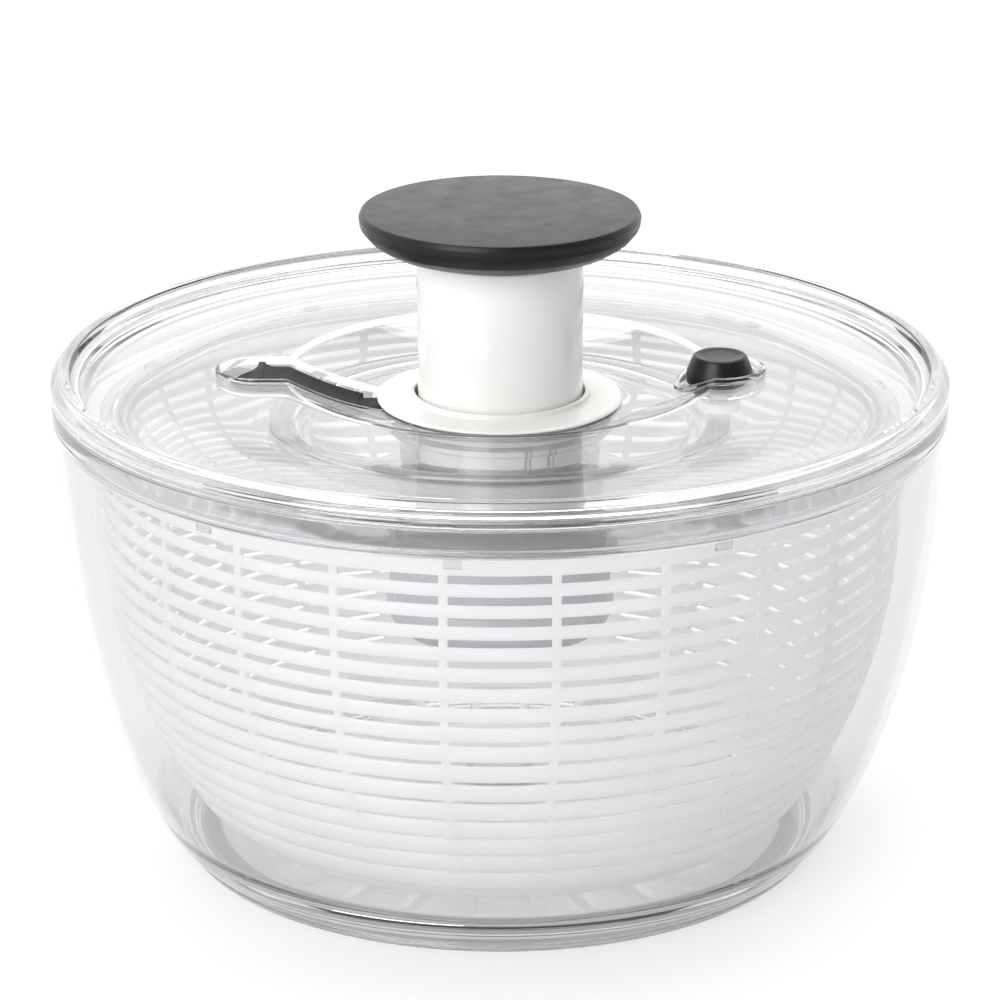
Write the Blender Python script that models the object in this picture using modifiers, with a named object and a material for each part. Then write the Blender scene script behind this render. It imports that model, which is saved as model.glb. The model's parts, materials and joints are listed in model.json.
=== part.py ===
"""Push-down salad spinner: clear bowl, slotted basket and a lid that holds a pump drive.

Run with: blender --background --python part.py

Frame: origin at the centre of the base where it meets the table, +Z up. The lid's
lock lever points along -X and its brake button along +X. Sizes below are in
millimetres, and MM turns them into Blender's metres.
"""
import math

import bmesh
import bpy
from mathutils import Matrix, Vector

MM = 0.001
NAME = "salad_spinner"

# Driving dimensions, in millimetres
GAP = 0.3                 # between pieces that touch
BIG_STEPS = 36            # facets round bowl, lid and turntable
MID_STEPS = 24            # facets round knob, collar and tube
SMALL_STEPS = 16          # facets round the small turned pieces

RIM_RADIUS = 133.5        # bowl rim and lid edge
BOWL_TOP = 141.2
BOWL_WALL = 2.6
RING_HEIGHT = 2.2         # non-slip ring under the bowl

BASKET_BOTTOM = 12.0
BASKET_TOP = 130.0
BASKET_WALL = 1.8
POST_COUNT = 24
POST_WIDTH = 2.5
SLOT_HEIGHT = 2.3         # of the upper rows of slots
SLOT_LOWEST = 1.2         # of the lowest row
SLOT_SHRINK_ROW = 4       # row from which the slots get lower
SLOT_ROWS = 16
TOP_SLOT = 122.2          # centre height of the highest row of slots
UPPER_PITCH = 6.2
LOWER_PITCH = 6.7
UPPER_ROWS = 9            # rows that keep the upper pitch

LID_TOP = 145.3           # flat ring of the lid
LID_WALL = 2.4
DISH_RADIUS = 64.1        # the lid dishes down inside this circle
DISH_FLOOR = 136.2        # lid height under the collar
DISH_INNER = 37.5
HOLE_RADIUS = 27.7        # hole in the middle of the lid

STROKE = 42.0             # plunger travel
TUBE_RADIUS = 24.7
TUBE_WALL = 2.2
TUBE_BOTTOM = 117.0
TUBE_TOP = 181.2
KNOB_RADIUS = 41.7
KNOB_TOP = 194.5
SPINDLE_LEAD = 40.0       # height of one full turn of the drive spindle
SPINDLE_WIDTH = 11.0
SPINDLE_THICK = 3.2
SPINDLE_TIP = 112.6
SPINDLE_FLANGE = 2.2
SCREW_CIRCLE = 12.5       # radius the three knob screws stand on
SCREW_HEAD = 1.8
SCREW_LENGTH = 11.0

CHANNEL_HALF = 11.0       # half the inner width of the lever channel
CHANNEL_END = -72.4       # centre of the channel's round outer end
CHANNEL_DEPTH = 6.0
CHANNEL_WALL = 1.4
LEVER_HALF = 10.4
LEVER_TIP = -27.0
HEAD_DROP = 4.4           # outer part of the lever's head, below the lid's top
RIB_X = -71.4             # thumb rib across the head
TIP_LOW = 131.8
TIP_HIGH = 134.2

BRAKE_X = 65.5
WELL_RADIUS = 12.0
WELL_FLOOR = 138.9
BRAKE_RING_TOP = 128.5

HUB_BOTTOM = 63.0
LUG_ANGLES = (-65.0, 115.0)   # plunger guide lugs, degrees round from +X

# Material: colour, roughness, alpha
FINISHES = {
    "clear_bowl": ((0.93, 0.94, 0.95), 0.06, 0.30),
    "clear_lid": ((0.93, 0.94, 0.95), 0.05, 0.30),
    "clear_soft": ((0.90, 0.91, 0.92), 0.35, 0.45),
    "clear_drive": ((0.92, 0.93, 0.94), 0.10, 0.35),
    "basket_white": ((0.93, 0.93, 0.92), 0.38, 0.85),
    "white_gloss": ((0.92, 0.92, 0.90), 0.18, 1.0),
    "natural_white": ((0.86, 0.86, 0.84), 0.35, 1.0),
    "hub_grey": ((0.60, 0.61, 0.63), 0.30, 0.80),
    "black_soft": ((0.030, 0.030, 0.033), 0.55, 1.0),
    "black_rigid": ((0.040, 0.040, 0.042), 0.40, 1.0),
    "dark_grey": ((0.085, 0.083, 0.083), 0.38, 1.0),
    "spring_steel": ((0.62, 0.62, 0.64), 0.28, 1.0),
    "screw_steel": ((0.55, 0.55, 0.57), 0.30, 1.0),
}
METALS = ("spring_steel", "screw_steel")


def remove_scene_objects():
    for item in list(bpy.data.objects):
        bpy.data.objects.remove(item, do_unlink=True)


def new_collection(name):
    collection = bpy.data.collections.new(name)
    bpy.context.scene.collection.children.link(collection)
    return collection


def finish_material(finish):
    """One Principled material for each piece of this finish."""
    colour, roughness, alpha = FINISHES[finish]
    material = bpy.data.materials.new(finish)
    material.use_nodes = True
    shader = material.node_tree.nodes["Principled BSDF"]
    shader.inputs["Base Color"].default_value = (*colour, 1.0)
    shader.inputs["Roughness"].default_value = roughness
    shader.inputs["Metallic"].default_value = 1.0 if finish in METALS else 0.0
    shader.inputs["Alpha"].default_value = alpha
    material.diffuse_color = (*colour, alpha)
    return material


remove_scene_objects()
PARTS = new_collection(NAME)
CUTTERS = new_collection("cutters")


# ---------------------------------------------------------------- shape helpers

def add_object(name, mesh, finish=None):
    """Link a mesh as a part with its finish, or as a hidden cutter without one."""
    item = bpy.data.objects.new(name, mesh)
    if finish:
        PARTS.objects.link(item)
        mesh.materials.append(finish_material(finish))
    else:
        CUTTERS.objects.link(item)
        item.hide_render = True
        item.display_type = "WIRE"
    return item


def smooth(mesh, degrees=35):
    """Smooth shading, with edges kept sharp where faces meet at more than this angle."""
    mesh.shade_smooth()
    mesh.set_sharp_from_angle(angle=math.radians(degrees))


def apply_modifiers(item):
    """Turn the evaluated shape into the object's own mesh, smooth with sharp edges."""
    evaluated = item.evaluated_get(bpy.context.evaluated_depsgraph_get())
    mesh = bpy.data.meshes.new_from_object(evaluated)
    item.modifiers.clear()
    item.data = mesh
    mesh.name = item.name
    smooth(mesh)


def turned(name, profile, finish=None, steps=MID_STEPS, centre_x=0.0):
    """Solid of revolution. profile is (radius, height) down the outer side."""
    on_axis = profile[0][0] == 0 and profile[-1][0] == 0
    shape = bmesh.new()
    points = [shape.verts.new((radius * MM, 0, height * MM)) for radius, height in profile]
    for first, second in zip(points, points[1:]):
        shape.edges.new((first, second))
    if not on_axis:
        shape.edges.new((points[-1], points[0]))
    mesh = bpy.data.meshes.new(name)
    shape.to_mesh(mesh)
    shape.free()
    item = add_object(name, mesh, finish)
    item.location.x = centre_x * MM
    screw = item.modifiers.new("turn", "SCREW")
    screw.steps = steps
    screw.render_steps = steps
    screw.use_merge_vertices = True
    screw.merge_threshold = 0.00001
    if finish:
        apply_modifiers(item)
    return item


def arc(centre_x, centre_y, radius, start, stop, steps):
    """Points along an arc, angles in degrees."""
    points = []
    for step in range(steps + 1):
        angle = math.radians(start + (stop - start) * step / steps)
        points.append((centre_x + radius * math.cos(angle), centre_y + radius * math.sin(angle)))
    return points


def spiral(first_radius, last_radius, start, stop, steps):
    """Points about the axis whose radius changes evenly, angles in degrees."""
    points = []
    for step in range(steps + 1):
        part = step / steps
        radius = first_radius + (last_radius - first_radius) * part
        angle = math.radians(start + (stop - start) * part)
        points.append((radius * math.cos(angle), radius * math.sin(angle)))
    return points


def flat_outline(name, outlines, low, high, finish=None):
    """Prism between two heights from closed outlines; an inner outline is a hole."""
    curve = bpy.data.curves.new(name, "CURVE")
    curve.dimensions = "2D"
    curve.fill_mode = "BOTH"
    curve.extrude = (high - low) / 2 * MM
    for outline in outlines:
        spline = curve.splines.new("POLY")
        spline.points.add(len(outline) - 1)
        for point, (x, y) in zip(spline.points, outline):
            point.co = (x * MM, y * MM, 0, 1)
        spline.use_cyclic_u = True
    guide = bpy.data.objects.new(name + "_outline", curve)
    guide.location.z = (high + low) / 2 * MM
    return curve_to_part(guide, name, finish)


def curve_to_part(guide, name, finish):
    """Replace a curve object by a welded mesh at the same place."""
    CUTTERS.objects.link(guide)
    bpy.context.view_layer.update()
    evaluated = guide.evaluated_get(bpy.context.evaluated_depsgraph_get())
    mesh = bpy.data.meshes.new_from_object(evaluated)
    mesh.transform(guide.matrix_world)
    mesh.name = name
    mesh.materials.clear()
    shape = bmesh.new()
    shape.from_mesh(mesh)
    bmesh.ops.remove_doubles(shape, verts=shape.verts, dist=0.000005)
    bmesh.ops.recalc_face_normals(shape, faces=shape.faces)
    shape.to_mesh(mesh)
    shape.free()
    bpy.data.objects.remove(guide, do_unlink=True)
    return add_object(name, mesh, finish)


def box(name, low, high, finish=None, turn=0.0):
    """Box between two corners in millimetres, turned about Z by degrees."""
    size = [(top - bottom) * MM for bottom, top in zip(low, high)]
    centre = [(top + bottom) / 2 * MM for bottom, top in zip(low, high)]
    shape = bmesh.new()
    bmesh.ops.create_cube(shape, size=1.0)
    bmesh.ops.scale(shape, vec=size, verts=shape.verts)
    bmesh.ops.translate(shape, vec=centre, verts=shape.verts)
    bmesh.ops.rotate(shape, cent=(0, 0, 0), matrix=Matrix.Rotation(math.radians(turn), 3, "Z"),
                     verts=shape.verts)
    mesh = bpy.data.meshes.new(name)
    shape.to_mesh(mesh)
    shape.free()
    return add_object(name, mesh, finish)


def pin(name, x, y, radius, low, high, finish=None, sides=12):
    """Upright cylinder between two heights."""
    shape = bmesh.new()
    bmesh.ops.create_cone(shape, cap_ends=True, segments=sides, radius1=radius * MM,
                          radius2=radius * MM, depth=(high - low) * MM,
                          matrix=Matrix.Translation((x * MM, y * MM, (low + high) / 2 * MM)))
    mesh = bpy.data.meshes.new(name)
    shape.to_mesh(mesh)
    shape.free()
    return add_object(name, mesh, finish)


def boolean(target, cutter, operation="DIFFERENCE"):
    modifier = target.modifiers.new(operation.lower(), "BOOLEAN")
    modifier.operation = operation
    modifier.solver = "EXACT"
    modifier.object = cutter


def coil(name, centre_x, mean_radius, wire_radius, low, high, turns, finish, turn_points=10):
    """Helical spring between two heights, with its first and last turns lying flat."""
    curve = bpy.data.curves.new(name, "CURVE")
    curve.dimensions = "3D"
    curve.bevel_depth = wire_radius * MM
    curve.bevel_resolution = 2
    curve.use_fill_caps = True
    spline = curve.splines.new("POLY")
    count = int(turns * turn_points) + 1
    spline.points.add(count - 1)
    for index, point in enumerate(spline.points):
        turn = index / turn_points
        rise = min(max((turn - 1) / (turns - 2), 0), 1)
        flat = wire_radius * 2.2
        start = flat * min(turn, 1)
        end = flat * max(turn - (turns - 1), 0)
        height = low + wire_radius + start + end
        height += rise * (high - low - 2 * wire_radius - 2 * flat)
        angle = 2 * math.pi * turn
        point.co = ((centre_x + mean_radius * math.cos(angle)) * MM,
                    mean_radius * math.sin(angle) * MM, height * MM, 1)
    guide = bpy.data.objects.new(name + "_line", curve)
    item = curve_to_part(guide, name, finish)
    smooth(item.data, 50)
    return item


def lid_height(radius):
    """Height of the lid's top surface: flat outside the ridge, dished inside it."""
    if radius >= DISH_RADIUS:
        return LID_TOP
    if radius <= DISH_INNER:
        return DISH_FLOOR
    part = (radius - DISH_INNER) / (DISH_RADIUS - DISH_INNER)
    return DISH_FLOOR + (LID_TOP - DISH_FLOOR) * part ** 1.5


def dish_line(inner, outer, offset):
    """Points (radius, height) that follow the lid's surface from inner to outer."""
    radii = [inner, DISH_INNER, 46, 55, DISH_RADIUS, outer]
    return [(radius, lid_height(radius) + offset) for radius in radii]


def follow_lid(name, inner, outer, top_offset, bottom_offset):
    """Cutter: slab between two offsets from the lid's surface."""
    upper = dish_line(inner, outer, top_offset)
    lower = dish_line(inner, outer, bottom_offset)
    return turned(name, upper + lower[::-1], steps=BIG_STEPS)


# ---------------------------------------------------------------- bowl and basket

def bowl_radius(height):
    """Outer radius of the bowl's wall at a height."""
    part = height / 249.5
    return 97.2 + 36.9 * (1 - (1 - part) ** 4.34) ** 0.88


def make_bowl():
    heights = [RING_HEIGHT + GAP, 10, 24, 45, 78, 132]
    outer = [(bowl_radius(height), height) for height in heights]
    inner = [(radius - BOWL_WALL, height) for radius, height in outer[2:]]
    profile = [(0, 16.0), (3.2, 16.0), (3.8, 14.5), (7.0, 6.0), (96.5, 6.0), (101.8, 10.0)]
    profile += inner[:-1]
    profile += [(130.2, 132.0), (130.2, BOWL_TOP), (133.0, BOWL_TOP), (RIM_RADIUS, 140.4)]
    profile += [(RIM_RADIUS, 134.6)]
    profile += outer[::-1]
    foot = RING_HEIGHT + GAP
    profile += [(94.3, foot), (94.3, 4.6), (90.7, 4.6), (90.7, foot), (86.0, foot), (0, 3.4)]
    turned("bowl", profile, "clear_bowl", BIG_STEPS)


def make_non_slip_ring():
    profile = [(94.0, 4.3), (94.0, RING_HEIGHT), (98.4, RING_HEIGHT), (97.1, 0.0), (87.0, 0.0)]
    profile += [(86.4, RING_HEIGHT), (91.0, RING_HEIGHT), (91.0, 4.3)]
    turned("non_slip_ring", profile, "clear_soft", BIG_STEPS)


def basket_radius(height):
    """Outer radius of the basket's wall at a height."""
    part = min((height - BASKET_BOTTOM) / 90.2, 1.0)
    return 87.6 + 33.3 * (1 - (1 - part) ** 1.92) ** 0.85


def slot_centres():
    heights = [TOP_SLOT - UPPER_PITCH * row for row in range(UPPER_ROWS)]
    while len(heights) < SLOT_ROWS:
        heights.append(heights[-1] - LOWER_PITCH)
    return heights


def slot_half(row):
    """Half the height of a row's slots, counted from the top."""
    part = max(row - SLOT_SHRINK_ROW, 0) / (SLOT_ROWS - 1 - SLOT_SHRINK_ROW)
    return (SLOT_HEIGHT + (SLOT_LOWEST - SLOT_HEIGHT) * part) / 2


def basket_rows():
    """Wall and floor lines (radius, height, open below) from the rim to the centre boss."""
    rows = [(basket_radius(BASKET_TOP), BASKET_TOP, False)]
    for index, centre in enumerate(slot_centres()):
        top = centre + slot_half(index)
        low = centre - slot_half(index)
        rows.append((basket_radius(top), top, True))
        rows.append((basket_radius(low), low, False))
    rows.append((basket_radius(16.5), 16.5, False))
    rows.append((87.0, BASKET_BOTTOM, False))
    rows.append((76.0, BASKET_BOTTOM, True))
    rows.append((46.0, BASKET_BOTTOM, False))
    rows.append((8.6, BASKET_BOTTOM, False))
    rows.append((8.6, 19.5, False))
    return rows


def make_basket():
    rows = basket_rows()
    shape = bmesh.new()
    bmesh.ops.create_grid(shape, x_segments=2 * POST_COUNT, y_segments=len(rows) - 1, size=0.5)
    grid = {}
    for vertex in shape.verts:
        column = round((vertex.co.x + 0.5) * 2 * POST_COUNT)
        row = round((0.5 - vertex.co.y) * (len(rows) - 1))
        grid[vertex] = (column, row)
    for vertex, (column, row) in grid.items():
        radius, height, _ = rows[row]
        half_post = min(math.degrees(POST_WIDTH / 2 / radius), 3.0)
        post_angle = 360.0 / POST_COUNT * (column // 2 + 0.5)
        side = half_post if column % 2 else -half_post
        angle = math.radians(post_angle + side)
        vertex.co = (radius * MM * math.cos(angle), radius * MM * math.sin(angle), height * MM)
    open_faces = []
    for face in shape.faces:
        columns = sorted({grid[vertex][0] for vertex in face.verts})
        row = min(grid[vertex][1] for vertex in face.verts)
        if rows[row][2] and columns[0] % 2:
            open_faces.append(face)
    bmesh.ops.delete(shape, geom=open_faces, context="FACES")
    bmesh.ops.remove_doubles(shape, verts=shape.verts, dist=0.00001)
    shape.normal_update()
    first = max(shape.faces, key=lambda face: face.calc_center_median().z)
    if first.normal.dot(first.calc_center_median()) < 0:
        bmesh.ops.reverse_faces(shape, faces=shape.faces)
    mesh = bpy.data.meshes.new("basket")
    shape.to_mesh(mesh)
    shape.free()
    basket = add_object("basket", mesh, "basket_white")
    solidify = basket.modifiers.new("wall", "SOLIDIFY")
    solidify.thickness = BASKET_WALL * MM
    solidify.offset = -1.0
    smooth(mesh, 50)


def make_pivot_bush():
    profile = [(0, 19.8), (7.0, 19.8), (8.2, 18.8), (8.2, BASKET_BOTTOM), (5.6, BASKET_BOTTOM)]
    profile += [(4.4, 16.4), (0, 16.4)]
    turned("pivot_bush", profile, "natural_white", 16)


# ---------------------------------------------------------------- lid

def make_lid_shell():
    profile = dish_line(HOLE_RADIUS, 126.2, 0)
    profile += [(128.2, 148.3), (130.6, 148.5), (132.6, 146.8), (RIM_RADIUS, 144.2)]
    profile += [(RIM_RADIUS, BOWL_TOP + GAP), (129.4, BOWL_TOP + GAP), (129.0, 131.5)]
    profile += [(127.0, 131.5), (126.6, 142.9)]
    profile += dish_line(34.0, 123.6, -LID_WALL)[::-1]
    profile += [(34.0, 128.7), (HOLE_RADIUS, 128.7)]
    lid = turned("lid_shell", profile, "clear_lid", BIG_STEPS)
    add_lever_channel(lid)
    add_brake_well(lid)


def stadium(half, inner_x):
    """Outline of the lever's channel, open end at inner_x."""
    return [(inner_x, -half), (inner_x, half)] + arc(CHANNEL_END, 0, half, 90, 270, 12)


def add_lever_channel(lid):
    bottom = -CHANNEL_DEPTH - CHANNEL_WALL
    tray = flat_outline("channel_tray", [stadium(CHANNEL_HALF + CHANNEL_WALL, -31.0)], 120, 160)
    boolean(tray, follow_lid("tray_slab", 28.0, 95.0, -1.0, bottom), "INTERSECT")
    boolean(lid, tray, "UNION")
    cavity = flat_outline("channel_cavity", [stadium(CHANNEL_HALF, -22.0)], 121, 161)
    boolean(cavity, follow_lid("cavity_slab", 24.0, 96.0, 12.0, -CHANNEL_DEPTH), "INTERSECT")
    boolean(lid, cavity)


def add_brake_well(lid):
    wall = WELL_RADIUS + 1.7
    floor = WELL_FLOOR - 1.7
    well = turned("brake_well", [(0, LID_TOP - 1.0), (wall, LID_TOP - 1.0), (wall, floor),
                                 (5.5, floor), (5.3, 134.4), (0, 134.4)],
                  steps=24, centre_x=BRAKE_X)
    boolean(well, follow_lid("well_slab", 40.0, 95.0, -1.0, -15.0), "INTERSECT")
    boolean(lid, well, "UNION")
    pocket = turned("brake_pocket", [(0, 152.0), (WELL_RADIUS, 152.0), (WELL_RADIUS, WELL_FLOOR),
                                     (0, WELL_FLOOR)], steps=24, centre_x=BRAKE_X)
    boolean(lid, pocket)
    boolean(lid, pin("stem_hole", BRAKE_X, 0, 2.7, 130, 145))


def make_collar():
    profile = [(26.9, 138.6), (26.9, 137.5), (36.0, 137.5), (36.7, 137.1)]
    profile += [(36.7, DISH_FLOOR + GAP), (27.2, DISH_FLOOR + GAP), (27.2, 130.0), (25.4, 130.0)]
    profile += [(25.4, 138.6), (25.8, 139.2), (26.5, 139.2)]
    collar = turned("collar", profile, "white_gloss", MID_STEPS)
    boolean(collar, box("collar_window", (-30, -4.2, TIP_LOW - 0.4), (-24, 4.2, TIP_HIGH + 0.4)))


def make_guide_sleeve():
    """Clear sleeve under the lid, with a pair of rails inside for each plunger lug."""
    profile = [(34.0, 128.4), (34.0, 126.2), (30.0, 126.2), (30.0, 106.0), (31.0, 105.9)]
    profile += [(31.0, 102.0), (27.7, 98.0), (27.7, 128.4)]
    sleeve = turned("guide_sleeve", profile, "clear_drive", MID_STEPS)
    for angle in LUG_ANGLES:
        for side in (-1, 1):
            low = (25.6, side * 3.6 - 0.6, 99.0)
            high = (28.8, side * 3.6 + 0.6, 127.5)
            boolean(sleeve, box(f"rail_{angle:.0f}_{side}", low, high, turn=angle), "UNION")


def make_lock_lever():
    """Dished strip with a cross rib for the thumb, and a narrow tongue to the plunger."""
    head = arc(CHANNEL_END + 2.2, 0, LEVER_HALF, 90, 270, 10)
    inner_end = arc(0, 0, 42.5, 180 + 13.5, 180 - 13.5, 6)
    lever = flat_outline("lock_lever", [head + inner_end], 122, 158, "dark_grey")
    boolean(lever, follow_lid("lever_slab", 30.0, 90.0, -2.5, -5.6), "INTERSECT")
    boolean(lever, box("head_drop", (-90, -14, LID_TOP - HEAD_DROP), (RIB_X, 14, 160)))
    tongue = [(-44, -6.4), (-33, -6.4), (-33, -3.4), (LEVER_TIP, -3.4), (LEVER_TIP, 3.4)]
    tongue += [(-33, 3.4), (-33, 6.4), (-44, 6.4)]
    boolean(lever, flat_outline("lever_tongue", [tongue], TIP_LOW, TIP_HIGH), "UNION")
    rib = thumb_rib()
    head += [(-60, -LEVER_HALF), (-60, LEVER_HALF)]
    boolean(rib, flat_outline("lever_head", [head], 120, 160), "INTERSECT")
    boolean(lever, rib, "UNION")


def thumb_rib():
    """Cross rib with a hollow flank on each side, drawn in X and Z and extruded along Y."""
    top = LID_TOP - 0.2
    base = LID_TOP - 3.4
    left = arc(RIB_X - 7.2, LID_TOP - HEAD_DROP + 5.9, 6.0, -90, -13, 5)
    right = arc(RIB_X + 7.2, base + 6.2, 6.0, 193, 270, 5)
    flank_top = [(x, min(z, top)) for x, z in left + right]
    outline = [(RIB_X - 7.2, base - 1.8)] + flank_top + [(RIB_X + 7.2, base - 1.8)]
    rib = flat_outline("thumb_rib", [[(x, z - base) for x, z in outline]], -8.6, 8.6)
    rib.rotation_euler.x = math.radians(90)
    rib.location.z = base * MM
    return rib


def make_brake():
    """Soft button on a stem whose foot pad stops the turntable."""
    profile = [(0, 149.0), (5.0, 149.2), (7.2, 149.8), (7.9, 149.6), (10.0, 145.4)]
    profile += [(10.6, 144.4), (10.6, 141.4), (9.2, 141.4), (9.0, 144.8), (6.6, 147.4)]
    profile += [(2.6, 147.4), (2.6, 144.0), (1.9, 144.0), (1.9, 147.9), (0, 147.9)]
    turned("brake_button", profile, "black_soft", SMALL_STEPS, BRAKE_X)
    stem = [(0, 147.6), (1.6, 147.6), (1.6, 143.6), (2.3, 143.6), (2.3, 134.3), (1.5, 134.3)]
    stem += [(1.5, 131.8), (0, 131.8)]
    turned("brake_stem", stem, "natural_white", 12, BRAKE_X)
    pad = [(1.9, 134.0), (5.6, 134.0), (6.5, 133.2), (6.5, 131.4), (5.9, 131.0), (1.9, 131.0)]
    turned("brake_pad", pad, "natural_white", 16, BRAKE_X)
    coil("brake_spring", BRAKE_X, 4.6, 0.4, WELL_FLOOR + GAP, 147.1, 4, "spring_steel", 8)


# ---------------------------------------------------------------- turntable

def make_turntable_disc():
    """Clear disc that carries the basket's rim, with a funnel down to the hub."""
    profile = [(34.6, 108.4), (41.0, 108.4), (57.0, 124.6), (60.4, 126.0), (74.0, 126.0)]
    profile += [(114.6, 129.4), (118.0, 132.0), (122.6, 132.0), (122.6, 130.4), (117.0, 130.3)]
    profile += [(116.8, 124.4), (115.2, 124.4), (114.8, 127.6), (74.0, 124.2), (60.0, 124.0)]
    profile += [(42.0, 106.4), (34.6, 106.4)]
    disc = turned("turntable_disc", profile, "clear_drive", BIG_STEPS)
    for index in range(10):
        lug = box(f"rim_lug_{index}", (121.5, -2.5, 126.5), (122.5, 2.5, 131.2),
                  turn=36 * index + 12)
        boolean(disc, lug, "UNION")


def make_brake_ring():
    profile = [(61.9, BRAKE_RING_TOP), (68.9, BRAKE_RING_TOP), (69.2, 128.2), (69.2, 126.3)]
    profile += [(61.6, 126.3), (61.6, 128.2)]
    turned("brake_ring", profile, "natural_white", BIG_STEPS)


def make_hub_cup():
    profile = [(0, 65.2), (24.0, 65.2), (29.8, 67.6), (32.2, 71.0), (32.2, 74.5), (31.7, 77.0)]
    profile += [(31.7, 106.0), (40.5, 106.0), (40.5, 104.4), (33.4, 104.4), (33.4, 77.5)]
    profile += [(34.5, 75.0), (34.5, 71.0), (31.6, 66.2), (26.0, 63.6), (0, HUB_BOTTOM)]
    turned("hub_cup", profile, "hub_grey", MID_STEPS)


def make_bearing_ring():
    profile = [(34.2, 108.2), (34.2, 106.3), (30.5, 106.3), (30.5, 108.2)]
    turned("bearing_ring", profile, "natural_white", MID_STEPS)


def make_ratchet_ring():
    """Ring of saw teeth on its inside, which the pawls drive one way."""
    outer = arc(0, 0, 31.0, 0, 360, 24)[:-1]
    inner = []
    teeth = 16
    for tooth in range(teeth):
        start = math.radians(360.0 / teeth * tooth)
        inner.append((26.2 * math.cos(start), 26.2 * math.sin(start)))
        inner.append((28.6 * math.cos(start + 0.03), 28.6 * math.sin(start + 0.03)))
    flat_outline("ratchet_ring", [outer, inner], 70.4, 74.2, "natural_white")


# ---------------------------------------------------------------- clutch

def make_clutch_drum():
    profile = [(9.5, 112.0), (13.0, 112.0), (13.0, 75.8), (21.4, 75.8), (21.4, 74.5), (13.0, 74.5)]
    profile += [(13.0, 66.0), (9.5, 66.0)]
    turned("clutch_drum", profile, "natural_white", SMALL_STEPS)


def make_pawl_plate():
    """Round plate with three swept spring arms, drawn lifted clear of the teeth."""
    outline = []
    for start in (0, 120, 240):
        outline += spiral(16.4, 16.4, start, start + 70, 5)
        outline += spiral(19.4, 21.8, start + 72, start + 16, 4)
        outline += spiral(25.3, 24.2, start + 13, start + 22, 1)
        outline += spiral(23.6, 18.4, start + 34, start + 98, 4)
    middle = arc(0, 0, 13.5, 0, 360, SMALL_STEPS)[:-1]
    flat_outline("pawl_plate", [outline, middle], 70.4, 74.2, "natural_white")


def make_drive_nut():
    """Nut on the drum's top, with a twisted slot that the spindle runs through."""
    nut = pin("drive_nut", 0, 0, 12.7, 112.3, 120.0, "natural_white", SMALL_STEPS)
    slot = twisted_bar("nut_slot", SPINDLE_WIDTH + 2.0, SPINDLE_THICK + 3.6, 110.0, 122.5)
    boolean(nut, slot)
    smooth(nut.data)


def make_thrust_washer():
    profile = [(21.4, 77.2), (21.4, 76.1), (14.6, 76.1), (14.6, 77.2)]
    turned("thrust_washer", profile, "natural_white", SMALL_STEPS)


def twisted_bar(name, width, thick, low, high, finish=None):
    """Flat bar twisted about Z by one turn in every SPINDLE_LEAD."""
    levels = round((high - low) / 2.5)
    shape = bmesh.new()
    bmesh.ops.create_cube(shape, size=1.0)
    across = [edge for edge in shape.edges if abs(edge.verts[0].co.x - edge.verts[1].co.x) > 0.5]
    bmesh.ops.subdivide_edges(shape, edges=across, cuts=1, use_grid_fill=True)
    upright = [edge for edge in shape.edges if abs(edge.verts[0].co.z - edge.verts[1].co.z) > 0.5]
    bmesh.ops.subdivide_edges(shape, edges=upright, cuts=levels - 1, use_grid_fill=True)
    for vertex in shape.verts:
        height = low + (vertex.co.z + 0.5) * (high - low)
        spin = Matrix.Rotation(2 * math.pi * height / SPINDLE_LEAD, 3, "Z")
        flat = Vector((vertex.co.x * width, vertex.co.y * thick, 0))
        vertex.co = (spin @ flat + Vector((0, 0, height))) * MM
    mesh = bpy.data.meshes.new(name)
    shape.to_mesh(mesh)
    shape.free()
    return add_object(name, mesh, finish)


# ---------------------------------------------------------------- plunger

def screw_places():
    return arc(0, 0, SCREW_CIRCLE, 30, 270, 2)


def make_plunger_tube():
    inner = TUBE_RADIUS - TUBE_WALL
    profile = [(0, TUBE_TOP), (TUBE_RADIUS - 0.6, TUBE_TOP), (TUBE_RADIUS, TUBE_TOP - 0.6)]
    profile += [(TUBE_RADIUS, TUBE_BOTTOM), (inner, TUBE_BOTTOM), (inner, TUBE_TOP - TUBE_WALL)]
    profile += [(0, TUBE_TOP - TUBE_WALL)]
    tube = turned("plunger_tube", profile, "white_gloss", MID_STEPS)
    for angle in LUG_ANGLES:
        lug = box(f"plunger_lug_{angle:.0f}", (23.6, -2.3, 126.4), (27.0, 2.3, 129.6), turn=angle)
        boolean(tube, lug, "UNION")
    window_low = TIP_LOW + STROKE - GAP
    window_high = TIP_HIGH + STROKE + GAP
    ledge = 2.2
    keyway = box("tube_keyway", (-27, -4, TUBE_BOTTOM - 2), (-20, 4, window_low - ledge))
    window = box("tube_window", (-27, -4, window_low), (-20, 4, window_high))
    boolean(tube, keyway)
    boolean(tube, window)
    for index, (x, y) in enumerate(screw_places()):
        boolean(tube, pin(f"tube_hole_{index}", x, y, 1.9, 170, 190, sides=10))


def make_spindle():
    """Twisted drive bar under a round flange that the knob screws clamp."""
    flange_top = TUBE_TOP - TUBE_WALL - GAP
    flange_low = flange_top - SPINDLE_FLANGE
    flange = [(0, flange_top), (15.6, flange_top), (15.6, flange_low), (0, flange_low)]
    spindle = turned("spindle", flange, "screw_steel", SMALL_STEPS)
    bar = twisted_bar("spindle_bar", SPINDLE_WIDTH, SPINDLE_THICK, SPINDLE_TIP, flange_top - 1)
    boolean(spindle, bar, "UNION")
    for index, (x, y) in enumerate(screw_places()):
        boolean(spindle, pin(f"spindle_hole_{index}", x, y, 1.9, 170, 190, sides=10))


def make_return_spring():
    top = TUBE_TOP - TUBE_WALL - GAP
    coil("return_spring", 0, 18.6, 0.9, 77.2 + GAP, top, 6, "spring_steel", 9)


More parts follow.
